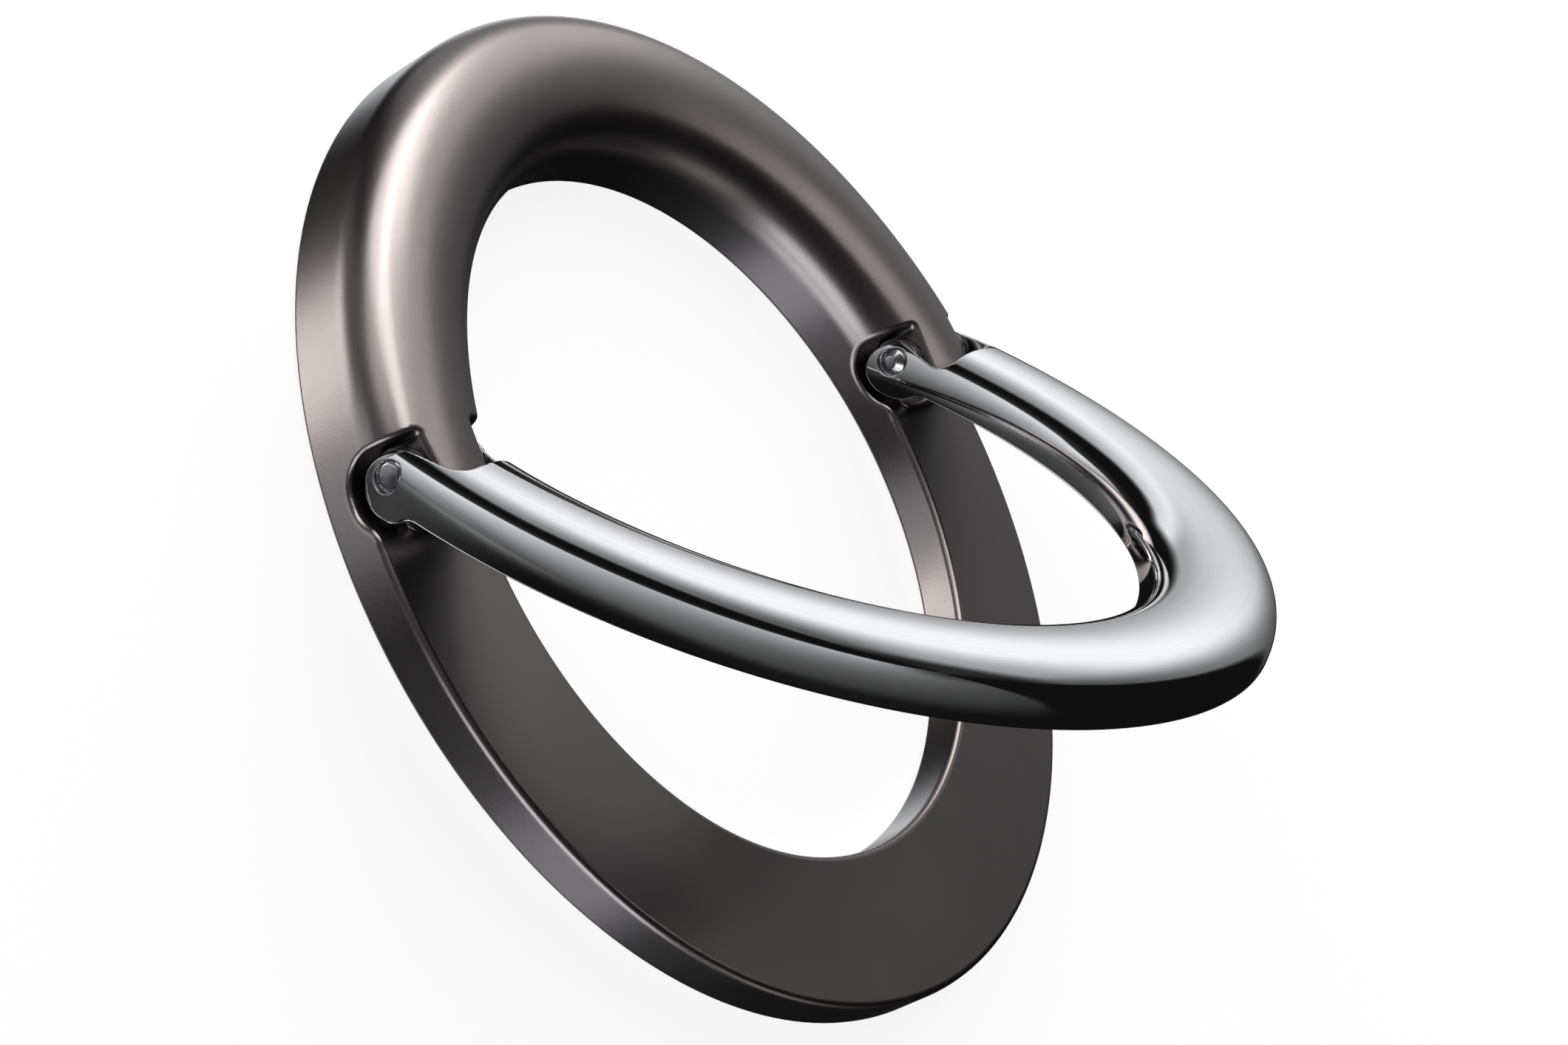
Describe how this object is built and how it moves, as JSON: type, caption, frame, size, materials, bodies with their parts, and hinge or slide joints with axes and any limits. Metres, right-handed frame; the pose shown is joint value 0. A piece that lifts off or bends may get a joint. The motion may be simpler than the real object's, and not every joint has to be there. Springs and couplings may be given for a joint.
{
  "type": "folding phone ring",
  "caption": "Flat magnetic ring with a raised crowned arc and a hinged bail that folds onto its ledge; a finger grip and stand.",
  "frame": {"origin": "centre of the ring on the back face of its grip pad", "axes": "+Z out of the phone, towards the crown; +Y from the folding bail's side to the raised arc; +X along the hinge axis"},
  "size_m": [0.056, 0.056, 0.0252],
  "materials": {
    "gunmetal": "bead-blasted die-cast zinc with satin gunmetal plating",
    "chrome": "mirror chrome plate",
    "pin_steel": "dark polished steel",
    "washer_steel": "zinc-plated spring steel",
    "magnet_nickel": "nickel-plated neodymium",
    "nylon": "natural nylon",
    "silicone": "matt silicone",
    "adhesive": "adhesive tape"
  },
  "bodies": {
    "base": {"base_ring": "gunmetal", "friction_bush_left": "nylon", "friction_bush_right": "nylon", "keeper_ring": "washer_steel", "tape_ring": "adhesive", "grip_pad": "silicone", "magnet_01": "magnet_nickel", "magnet_02": "magnet_nickel", "magnet_03": "magnet_nickel", "magnet_04": "magnet_nickel", "magnet_05": "magnet_nickel", "magnet_06": "magnet_nickel", "magnet_07": "magnet_nickel", "magnet_08": "magnet_nickel", "magnet_09": "magnet_nickel", "magnet_10": "magnet_nickel", "magnet_11": "magnet_nickel", "magnet_12": "magnet_nickel", "magnet_13": "magnet_nickel", "magnet_14": "magnet_nickel", "magnet_15": "magnet_nickel", "magnet_16": "magnet_nickel"},
    "bail": {"bail": "chrome", "hinge_pin_left": "pin_steel", "hinge_pin_right": "pin_steel", "spring_washer_left": "washer_steel", "spring_washer_right": "washer_steel", "thrust_washer_left": "washer_steel", "thrust_washer_right": "washer_steel"}
  },
  "joints": [
    {"name": "bail_hinge", "type": "hinge", "parent": "base", "child": "bail", "pos_m": [0, 0.005, 0.0038], "axis": [-1, 0, 0], "range_deg": [-40.3, 54.7]}
  ]
}
